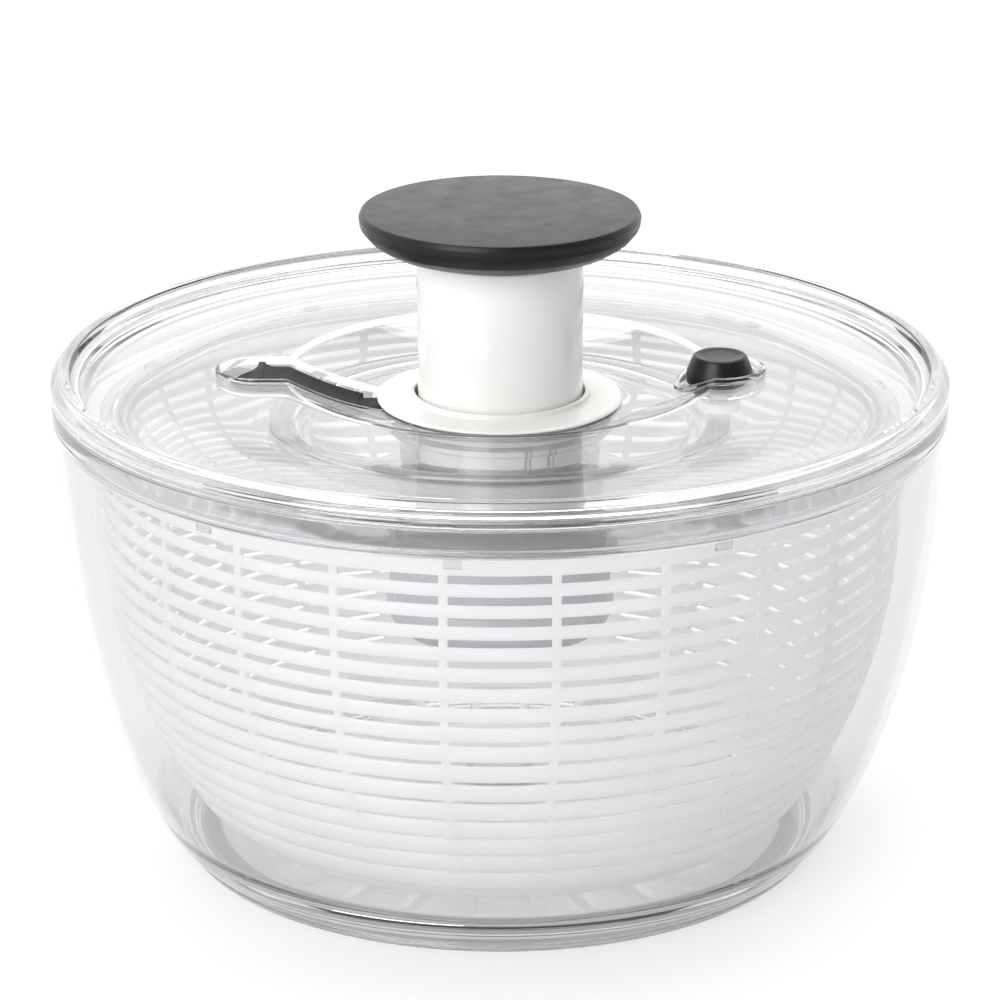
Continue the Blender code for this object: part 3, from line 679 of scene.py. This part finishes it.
def at_height(outline, height):
    """Outline laid flat at one height."""
    return [(x, y, height) for x, y in outline]


def bead(height, radius, steps=4):
    """(widening, offset) pairs of a cutter that rounds the mouth it cuts, up to a height."""
    pairs = []
    for step in range(steps + 1):
        angle = math.radians(90 * step / steps)
        pairs.append((radius * (1 - math.cos(angle)), height - radius * (1 - math.sin(angle))))
    return pairs


def make_lid():
    """Clear lid: bead, skirt, dished middle and inner sleeve, with channel and well."""
    radii = [LID_HOLE + 0.5 * step for step in range(1, 4)]
    dish_steps = 30
    radii += [30 + (DISH_RADIUS - 30) * step / dish_steps for step in range(dish_steps + 1)]
    top = [(radius, lid_height(radius)) for radius in radii]
    bottom = [(radius, lid_height(radius) - LID_WALL) for radius in radii if radius > 34.6]
    corners = [(LID_HOLE, DISH_FLOOR, 0.2)] + plain(top)
    corners += [(DISH_RADIUS + 0.4, LID_TOP, 0), (90.0, LID_TOP, 0), (126.8, LID_TOP, 1.0)]
    corners += [(127.9, LID_BEAD_TOP - 0.1, 1.0), (130.8, LID_BEAD_TOP, 1.8)]
    corners += [(RIM_RADIUS, LID_BEAD_TOP - 3.2, 2.4), (RIM_RADIUS, BOWL_TOP + 0.3, 0.5)]
    corners += [(129.4, BOWL_TOP + 0.3, 0.3), (129.0, 131.5, 0.6), (127.0, 131.5, 0.6)]
    corners += [(126.5, LID_TOP - LID_WALL, 1.6), (90.0, LID_TOP - LID_WALL, 0)]
    corners += [(DISH_RADIUS + 0.4, LID_TOP - LID_WALL, 0)]
    corners += plain(bottom[::-1])
    corners += [(34.0, DISH_FLOOR - LID_WALL - 0.5, 0.3), (34.0, 128.7, 0.3), (LID_HOLE, 128.7, 0.3)]
    lid = lathe("lid_clear", rounded(corners), BIG_STEPS)
    add_channel(lid)
    add_well(lid)
    finish_piece(lid, "lid", ["lid_shell"], CLEAR_LID, 30)


def add_channel(lid):
    """Channel that the lock lever slides in, a tray hung under the lid."""
    outer = CHANNEL_HALF + CHANNEL_WALL
    floor = -CHANNEL_DEPTH - CHANNEL_WALL
    tray = [on_lid(channel_outline(outer - inset, TRAY_START), floor + rise)
            for inset, rise in [(1.6, 0.0), (0.8, 0.2), (0.24, 0.76), (0.0, 1.6), (0.0, 5.0)]]
    tray += [lip_on_lid(channel_outline(outer - inset, TRAY_START), CHANNEL_LIP, drop)
             for inset, drop in LIP_EDGE]
    join(lid, stack("tray", tray))
    levels = [(-1.2, -CHANNEL_DEPTH), (-0.6, 0.16 - CHANNEL_DEPTH), (-0.16, 0.6 - CHANNEL_DEPTH)]
    levels += [(0.0, 1.2 - CHANNEL_DEPTH), *bead(CHANNEL_LIP, MOUTH_ROUNDING), (MOUTH_ROUNDING, 6.0)]
    cavity = [on_lid(channel_outline(CHANNEL_HALF + widen, CHANNEL_START), offset)
              for widen, offset in levels]
    cut(lid, stack("cavity", cavity))


def add_well(lid):
    """Well that the brake button sinks into, and the guide of its stem."""
    outer = WELL_RADIUS + WELL_WALL
    floor = WELL_FLOOR - WELL_WALL
    body = [at_height(round_outline(radius), height)
            for radius, height in [(4.9, 134.4), (5.3, 134.8), (5.5, floor - 0.5), (6.0, floor),
                                   (outer - 1.8, floor), (outer - 0.9, floor + 0.25),
                                   (outer - 0.25, floor + 0.9), (outer, floor + 1.8)]]
    body.append(on_lid(round_outline(outer), -0.9))
    body += [lip_on_lid(round_outline(outer - inset), WELL_LIP, drop) for inset, drop in LIP_EDGE]
    join(lid, stack("well_body", body))
    pocket = [at_height(round_outline(radius), height)
              for radius, height in [(WELL_RADIUS - 0.8, WELL_FLOOR),
                                     (WELL_RADIUS - 0.24, WELL_FLOOR + 0.24),
                                     (WELL_RADIUS, WELL_FLOOR + 0.8)]]
    pocket += [on_lid(round_outline(WELL_RADIUS + widen), offset)
               for widen, offset in [*bead(WELL_LIP, MOUTH_ROUNDING), (MOUTH_ROUNDING, 6.0)]]
    cut(lid, stack("well_pocket", pocket))
    cut(lid, lathe("stem_hole", [(2.7, 150.0), (2.7, 120.0)], SMALL_STEPS, BRAKE_X, closed=False))


def make_collar():
    """White flange and lip round the plunger, with a window for the lever's tongue."""
    low = DISH_FLOOR + 0.3
    corners = [(26.9, 138.8, 0), (26.9, 137.6, 0.4), (36.0, 137.5, 0.4), (COLLAR_RADIUS, 137.0, 0.4)]
    corners += [(COLLAR_RADIUS, low, 0.2), (27.2, low, 0.2), (27.2, COLLAR_LOW, 0.3)]
    corners += [(25.4, COLLAR_LOW, 0.3), (25.4, COLLAR_HIGH, 0.5), (26.9, COLLAR_HIGH, 0.5)]
    collar = lathe("collar_ring", rounded(corners), MID_STEPS)
    cut(collar, block("window", (-30, -4.2, TONGUE_LOW - 0.4), (-24, 4.2, TONGUE_HIGH + 0.4)))
    finish_piece(collar, "lid", ["collar"], WHITE_GLOSS)


def make_sleeve():
    """Clear sleeve under the collar, with rails on both sides of the tube's lugs."""
    corners = [(27.7, SLEEVE_HIGH, 0.3), (34.0, SLEEVE_HIGH, 0.5), (34.0, 126.2, 0.5)]
    corners += [(30.0, 126.2, 0.8), (30.0, 106.2, 0.3), (31.0, 105.8, 0.4), (31.0, 102.0, 0.6)]
    corners += [(27.9, SLEEVE_LOW, 0.4), (27.7, SLEEVE_LOW, 0)]
    sleeve = lathe("sleeve_clear", rounded(corners), MID_STEPS)
    for angle in LUG_ANGLES:
        for side in (-1, 1):
            low = (25.6, side * 3.6 - 0.6, 99.0)
            high = (28.8, side * 3.6 + 0.6, 127.5)
            join(sleeve, block("rail", low, high, angle))
    finish_piece(sleeve, "lid", ["guide_sleeve"], CLEAR_DRIVE)


# ---------------------------------------------------------------- lock lever

LEVER_HALF = 10.4
LEVER_HEAD_X = CHANNEL_END + 2.2
LEVER_END_RADIUS = 42.5
RIB_X = -71.4
RIB_HALF = 0.9
RIB_REACH = 8.6
FLANK = 8.2
HEAD_DROP = 4.4           # lever's surface below the lid outside the rib, and inside it
STRIP_DROP = 2.5
LEVER_UNDER = 5.6


def lever_top(x, y):
    """Height of the lever's upper face, with its cross rib and hollow flanks."""
    base = lid_height(math.hypot(x, y)) - (HEAD_DROP if x < RIB_X else STRIP_DROP)
    if abs(y) > RIB_REACH:
        return base
    away = max(abs(x - RIB_X) - RIB_HALF, 0.0) / FLANK
    if away >= 1.0:
        return base
    top = LID_TOP - 0.2 - 0.25 * (y / RIB_REACH) ** 2
    return base + (top - base) * (1 - math.sqrt(1 - (1 - away) ** 2))


def make_lever():
    """Lock lever: a slab that follows the lid's dish, its thumb rib and its tongue."""
    left = LEVER_HEAD_X - LEVER_HALF
    lines = [left + (RIB_X - RIB_HALF - left) * (1 - (1 - step / 20) ** 2) for step in range(21)]
    lines += [RIB_X, RIB_X + RIB_HALF]
    first = RIB_X + RIB_HALF
    lines += [first + FLANK * (step / 20) ** 2 for step in range(1, 21)]
    lines += [first + FLANK + (-LEVER_END_RADIUS + 2.6 - first - FLANK) * step / 22
              for step in range(1, 23)]
    ys = [LEVER_HALF * math.sin(math.radians(-90 + 180 * step / 36)) for step in range(37)]
    ys = sorted(ys + [-RIB_REACH - 0.02, -RIB_REACH, RIB_REACH, RIB_REACH + 0.02])
    rows = []
    for y in ys:
        bulge = math.sqrt(max(LEVER_HALF ** 2 - y ** 2, 0.0))
        low = LEVER_HEAD_X - bulge
        high = -math.sqrt(LEVER_END_RADIUS ** 2 - y ** 2)
        row = []
        for x in lines:
            inside = min(max(x, low), high)
            row.append((inside, y, lever_top(inside, y)))
        rows.append(row)
    shape = bmesh.new()
    grid(shape, rows)
    bmesh.ops.remove_doubles(shape, verts=shape.verts, dist=0.01 * MM)
    under = bmesh.ops.extrude_face_region(shape, geom=shape.faces[:])["geom"]
    for vertex in under:
        if isinstance(vertex, bmesh.types.BMVert):
            radius = math.hypot(vertex.co.x, vertex.co.y) / MM
            vertex.co.z = (lid_height(radius) - LEVER_UNDER) * MM
    lever = new_piece("lever", mesh_from("lever", shape))
    outline = [(-44, -6.4), (-33.6, -6.4), (-33, -5.8), (-33, -3.4), (-27.4, -3.4), (-27, -3.0)]
    outline += [(x, -y) for x, y in outline[::-1]]
    tongue = bmesh.new()
    levels = [at_height(outline, height) for height in (TONGUE_LOW, TONGUE_HIGH)]
    made = grid(tongue, levels, wrap_columns=True)
    for row in made:
        tongue.faces.new(row)
    join(lever, new_piece("tongue", mesh_from("tongue", tongue)))
    soften(lever, 0.3, 3, 50)
    finish_piece(lever, "lock", ["lock_lever"], DARK_GREY, 38)


# ---------------------------------------------------------------- brake

def make_brake():
    """Brake: dished button, stem and foot."""
    top = BUTTON_HIGH
    low = BUTTON_LOW
    corners = [(0, top - 0.8, 0), (5.4, top - 0.55, 3.0), (7.4, top, 0.8), (8.1, top - 0.5, 0.8)]
    corners += [(9.6, low + 4.2, 1.0), (10.0, low + 2.8, 0.6), (9.9, low, 0.3), (9.2, low, 0.3)]
    corners += [(9.0, 144.8, 0.6), (6.6, 147.4, 0.6), (2.6, 147.4, 0.2), (2.6, 144.0, 0.2)]
    corners += [(1.9, 144.0, 0.1), (1.9, 147.9, 0), (0, 147.9, 0)]
    cap = lathe("brake_cap", rounded(corners, closed=False), SMALL_STEPS, BRAKE_X, False)
    finish_piece(cap, "brake", ["brake_button"], BLACK_SOFT)
    corners = [(0, STEM_HIGH, 0), (1.6, STEM_HIGH, 0.3), (1.6, 143.6, 0.1), (2.3, 143.6, 0.2)]
    corners += [(2.3, 134.3, 0.2), (1.5, 134.3, 0.1), (1.5, STEM_LOW, 0.2), (0, STEM_LOW, 0)]
    rod = lathe("brake_rod", rounded(corners, closed=False), SMALL_STEPS, BRAKE_X, False)
    finish_piece(rod, "brake", ["brake_stem"], NATURAL)
    corners = [(1.9, PAD_HIGH, 0.2), (5.8, PAD_HIGH, 0.7), (6.5, PAD_HIGH - 0.9, 0.5)]
    corners += [(6.5, PAD_LOW + 0.3, 0.4), (5.9, PAD_LOW, 0.4), (1.9, PAD_LOW, 0.2)]
    shoe = lathe("brake_shoe", rounded(corners), SMALL_STEPS, BRAKE_X)
    finish_piece(shoe, "brake", ["brake_pad"], NATURAL)


# ---------------------------------------------------------------- turntable

def make_disc():
    """Turntable disc with the lugs that hold the basket's rim."""
    corners = [(34.6, DISC_LOW + 2.0, 0.3), (41.0, 108.4, 2.0), (57.0, 124.6, 2.0), (60.4, 126.0, 1.0)]
    corners += [(74.0, 126.0, 6.0), (114.6, 129.4, 4.0), (118.0, DISC_HIGH, 1.0)]
    corners += [(122.6, DISC_HIGH, 0.7), (122.6, 130.4, 0.7), (117.0, 130.4, 0.3)]
    corners += [(116.8, 124.4, 0.7), (115.2, 124.4, 0.7), (114.8, 127.6, 0.3), (74.0, 124.2, 6.0)]
    corners += [(60.0, 124.0, 2.0), (42.0, DISC_LOW, 1.0), (34.6, DISC_LOW, 0.3)]
    disc = lathe("turntable_clear", rounded(corners), BIG_STEPS)
    lugs = bmesh.new()
    for index in range(10):
        place = Matrix.Rotation(math.radians(36 * index + 12), 4, "Z")
        place = place @ Matrix.Translation((122.0 * MM, 0, 128.85 * MM))
        place = place @ Matrix.Diagonal((1.0 * MM, 5.0 * MM, 4.7 * MM, 1))
        bmesh.ops.create_cube(lugs, size=1.0, matrix=place)
    join(disc, new_piece("lugs", mesh_from("lugs", lugs)))
    finish_piece(disc, "turntable", ["turntable_disc"], CLEAR_DRIVE)


def make_track():
    """Flat ring on the disc that the brake foot presses on."""
    corners = [(61.9, TRACK_HIGH, 0.4), (68.9, TRACK_HIGH, 0.4), (TRACK_RADIUS, 128.1, 0.2)]
    corners += [(TRACK_RADIUS, TRACK_LOW, 0.3), (61.6, TRACK_LOW, 0.3), (61.6, 128.1, 0.2)]
    track = lathe("brake_track", rounded(corners), BIG_STEPS)
    finish_piece(track, "turntable", ["brake_ring"], CLEAR_DRIVE)


def make_hub():
    """Smoky cup in the middle of the turntable."""
    corners = [(0, HUB_LOW + 2.2, 0), (24.0, 65.2, 3.0), (29.8, 67.6, 2.5), (32.2, 71.0, 1.5)]
    corners += [(32.2, 74.5, 1.0), (31.7, 77.0, 1.0), (31.7, HUB_HIGH, 0.4)]
    corners += [(HUB_RADIUS, HUB_HIGH, 0.5), (HUB_RADIUS, 104.4, 0.5), (33.4, 104.4, 0.8)]
    corners += [(33.4, 77.5, 1.0), (34.5, 75.0, 1.0), (34.5, 71.0, 2.0), (31.6, 66.2, 3.0)]
    corners += [(26.0, 63.6, 3.0), (0, HUB_LOW, 0)]
    hub = lathe("hub_bowl", rounded(corners, closed=False), MID_STEPS, closed=False)
    finish_piece(hub, "turntable", ["hub_cup"], HUB_GREY)


# ---------------------------------------------------------------- plunger

SCREW_CIRCLE = 12.5        # radius of the three screws' circle


def make_tube():
    """Plunger tube with its guide lugs, locking window and screw holes."""
    radius = 24.7
    inner = radius - 2.2
    corners = [(0, TUBE_HIGH, 0), (radius, TUBE_HIGH, 0.8), (radius, TUBE_LOW, 0.5)]
    corners += [(inner, TUBE_LOW, 0.5), (inner, TUBE_HIGH - 2.2, 0.8), (0, TUBE_HIGH - 2.2, 0)]
    tube = lathe("tube_white", rounded(corners, closed=False), MID_STEPS, closed=False)
    for angle in LUG_ANGLES:
        join(tube, block("lug", (23.6, -2.3, 126.4), (27.0, 2.3, 129.6), angle))
    low = TONGUE_LOW + STROKE - 0.3
    high = TONGUE_HIGH + STROKE + 0.3
    cut(tube, block("keyway", (-27, -4, TUBE_LOW - 2), (-20, 4, low - 2.2)))
    cut(tube, block("window", (-27, -4, low), (-20, 4, high)))
    for angle in (30, 150, 270):
        hole = lathe("hole", [(1.9, 190.0), (1.9, 170.0)], 32, SCREW_CIRCLE, closed=False)
        hole.data.transform(Matrix.Rotation(math.radians(angle), 4, "Z"))
        cut(tube, hole)
    finish_piece(tube, "plunger", ["plunger_tube"], WHITE_GLOSS)


def make_knob():
    """Soft knob cover, hollow underneath for its core."""
    top = KNOB_HIGH
    corners = [(0, top, 0), (20.0, top - 0.05, 20), (40.9, top - 0.3, 0.7)]
    corners += [(KNOB_RADIUS, top - 1.9, 1.2), (41.4, top - 4.6, 3.0), (38.6, top - 8.0, 3.0)]
    corners += [(34.6, top - 10.5, 4.0)]
    corners += [(27.2, KNOB_LOW, 0.4), (27.2, KNOB_LOW + 1.2, 0.4), (34.2, 184.8, 3.0)]
    corners += [(38.6, 188.1, 2.0), (40.0, 191.2, 0.6), (38.8, 192.3, 0.4), (0, 192.6, 0)]
    knob = lathe("knob_cover", rounded(corners, closed=False), MID_STEPS, closed=False)
    finish_piece(knob, "plunger", ["knob_cap"], BLACK_SOFT)


# ---------------------------------------------------------------- springs

def coil(name, centre_x, mean_radius, wire, low, high, turns, per_turn=40, sides=12):
    """Helical spring with its first and last turns lying flat."""
    rows = []
    count = int(turns * per_turn) + 1
    flat = wire * 2.2
    for index in range(count):
        turn = index / per_turn
        rise = min(max((turn - 1) / (turns - 2), 0), 1)
        height = low + wire + flat * (min(turn, 1) + max(turn - (turns - 1), 0))
        height += rise * (high - low - 2 * wire - 2 * flat)
        angle = 2 * math.pi * turn
        row = []
        for side in range(sides):
            around = 2 * math.pi * side / sides
            radius = mean_radius + wire * math.cos(around)
            row.append((centre_x + radius * math.cos(angle), radius * math.sin(angle),
                        height + wire * math.sin(around)))
        rows.append(row)
    shape = bmesh.new()
    made = grid(shape, rows, wrap_columns=True)
    shape.faces.new(made[0])
    shape.faces.new(made[-1][::-1])
    return new_piece(name, mesh_from(name, shape, merge=False))


def make_springs():
    """Return and brake spring, each with a mesh of its own."""
    spring = coil("spring_return", 0, 18.6, 0.9, RETURN_LOW, RETURN_HIGH, 8)
    finish_piece(spring, "lid", ["return_spring"], SPRING_STEEL)
    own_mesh(spring)
    spring = coil("spring_brake", BRAKE_X, 4.6, 0.4, BRAKE_SPRING_LOW, BRAKE_SPRING_HIGH, 5)
    finish_piece(spring, "lid", ["brake_spring"], SPRING_STEEL)
    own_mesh(spring)


def dress_inner_nodes():
    """Better finishes on the CAD pieces that stay as they are."""
    finishes = {
        "pivot_bush": NATURAL, "bearing_ring": NATURAL, "ratchet_ring": NATURAL,
        "clutch_drum": NATURAL, "pawl_plate": NATURAL, "drive_nut": NATURAL,
        "thrust_washer": NATURAL, "spindle": SCREW_STEEL, "knob_core": BLACK_RIGID,
        "knob_screw_1": SCREW_STEEL, "knob_screw_2": SCREW_STEEL, "knob_screw_3": SCREW_STEEL,
    }
    for node, material in finishes.items():
        slots = frame["nodes"][node].material_slots
        for slot in slots:
            slot.material = material


# ---------------------------------------------------------------- stage

BRIGHT_SIDE = (-0.40, 0.92, 0.0)            # direction the studio is brightest in
SIDE_LIGHT = (-0.7, 0.5, 0.46, 1.35)         # range along it, and the light at both ends
ZENITH_LIGHT = (0.6, 0.95, 1.0, 0.95)         # range of height, and the share of light left
KEY_POWER = 26.0
TOP_POWER = 18.0


def make_floor():
    """Pale floor that also glows a little, so that it meets the background evenly."""
    shape = bmesh.new()
    bmesh.ops.create_grid(shape, x_segments=1, y_segments=1, size=4.0)
    mesh = bpy.data.meshes.new("floor")
    shape.to_mesh(mesh)
    shape.free()
    floor = new_piece("floor", mesh)
    floor.location.z = -0.0002
    nodes = Nodes("pale_floor")
    nodes.shader.inputs["Base Color"].default_value = (0.48, 0.48, 0.48, 1.0)
    nodes.shader.inputs["Emission Color"].default_value = (1.0, 1.0, 1.0, 1.0)
    nodes.shader.inputs["Emission Strength"].default_value = 0.43
    nodes.shader.inputs["Roughness"].default_value = 0.9
    nodes.shader.inputs["Specular IOR Level"].default_value = 0.1
    mesh.materials.append(nodes.material)


def add_lamp(name, place, target, size, power):
    """Softbox that faces a target."""
    lamp = bpy.data.lights.new(name, "AREA")
    lamp.shape = "RECTANGLE"
    lamp.size, lamp.size_y = size
    lamp.energy = power
    item = bpy.data.objects.new(name, lamp)
    bpy.context.scene.collection.objects.link(item)
    item.location = place
    item.rotation_euler = (Vector(target) - Vector(place)).to_track_quat("-Z", "Y").to_euler()


def smooth_range(tree, source, values):
    """Value that runs smoothly over a range: (from low, from high, to low, to high)."""
    node = tree.nodes.new("ShaderNodeMapRange")
    node.interpolation_type = "SMOOTHSTEP"
    for key, value in zip(("From Min", "From Max", "To Min", "To Max"), values):
        node.inputs[key].default_value = value
    tree.links.new(source, node.inputs["Value"])
    return node.outputs["Result"]


def make_light():
    """Studio round the object: bright behind and to the left, darker behind the camera."""
    world = bpy.data.worlds.new("studio")
    bpy.context.scene.world = world
    world.use_nodes = True
    tree = world.node_tree
    back = tree.nodes["Background"]
    place = tree.nodes.new("ShaderNodeTexCoord")
    along = tree.nodes.new("ShaderNodeVectorMath")
    along.operation = "DOT_PRODUCT"
    along.inputs[1].default_value = BRIGHT_SIDE
    tree.links.new(place.outputs["Generated"], along.inputs[0])
    split = tree.nodes.new("ShaderNodeSeparateXYZ")
    tree.links.new(place.outputs["Generated"], split.inputs["Vector"])
    level = tree.nodes.new("ShaderNodeMath")
    level.operation = "MULTIPLY"
    tree.links.new(smooth_range(tree, along.outputs["Value"], SIDE_LIGHT), level.inputs[0])
    tree.links.new(smooth_range(tree, split.outputs["Z"], ZENITH_LIGHT), level.inputs[1])
    tree.links.new(level.outputs["Value"], back.inputs["Strength"])
    back.inputs["Color"].default_value = (1.0, 1.0, 1.0, 1.0)
    centre = (0, 0, 0.12)
    add_lamp("softbox_key", (-1.0, -1.55, 1.0), centre, (1.3, 1.3), KEY_POWER)
    add_lamp("softbox_top", (0.1, 0.5, 1.8), centre, (1.6, 1.2), TOP_POWER)
    bpy.context.scene.view_settings.view_transform = "Standard"


def make_camera():
    """Camera at the photo's viewing angle: 19 degrees above the table, long lens."""
    camera = bpy.data.cameras.new("camera")
    camera.lens = 147.3
    camera.sensor_width = 36.0
    camera.clip_start = 0.05
    camera.clip_end = 50.0
    item = bpy.data.objects.new("camera", camera)
    bpy.context.scene.collection.objects.link(item)
    item.location = (0.0, -1.1657, 0.5062)
    item.rotation_euler = (math.radians(90 - 19.04), 0, 0)
    bpy.context.scene.camera = item


make_camera()
make_light()
make_floor()
make_bowl()
make_foot_ring()
make_basket()
make_lid()
make_collar()
make_sleeve()
make_lever()
make_brake()
make_disc()
make_track()
make_hub()
make_tube()
make_knob()
make_springs()
dress_inner_nodes()
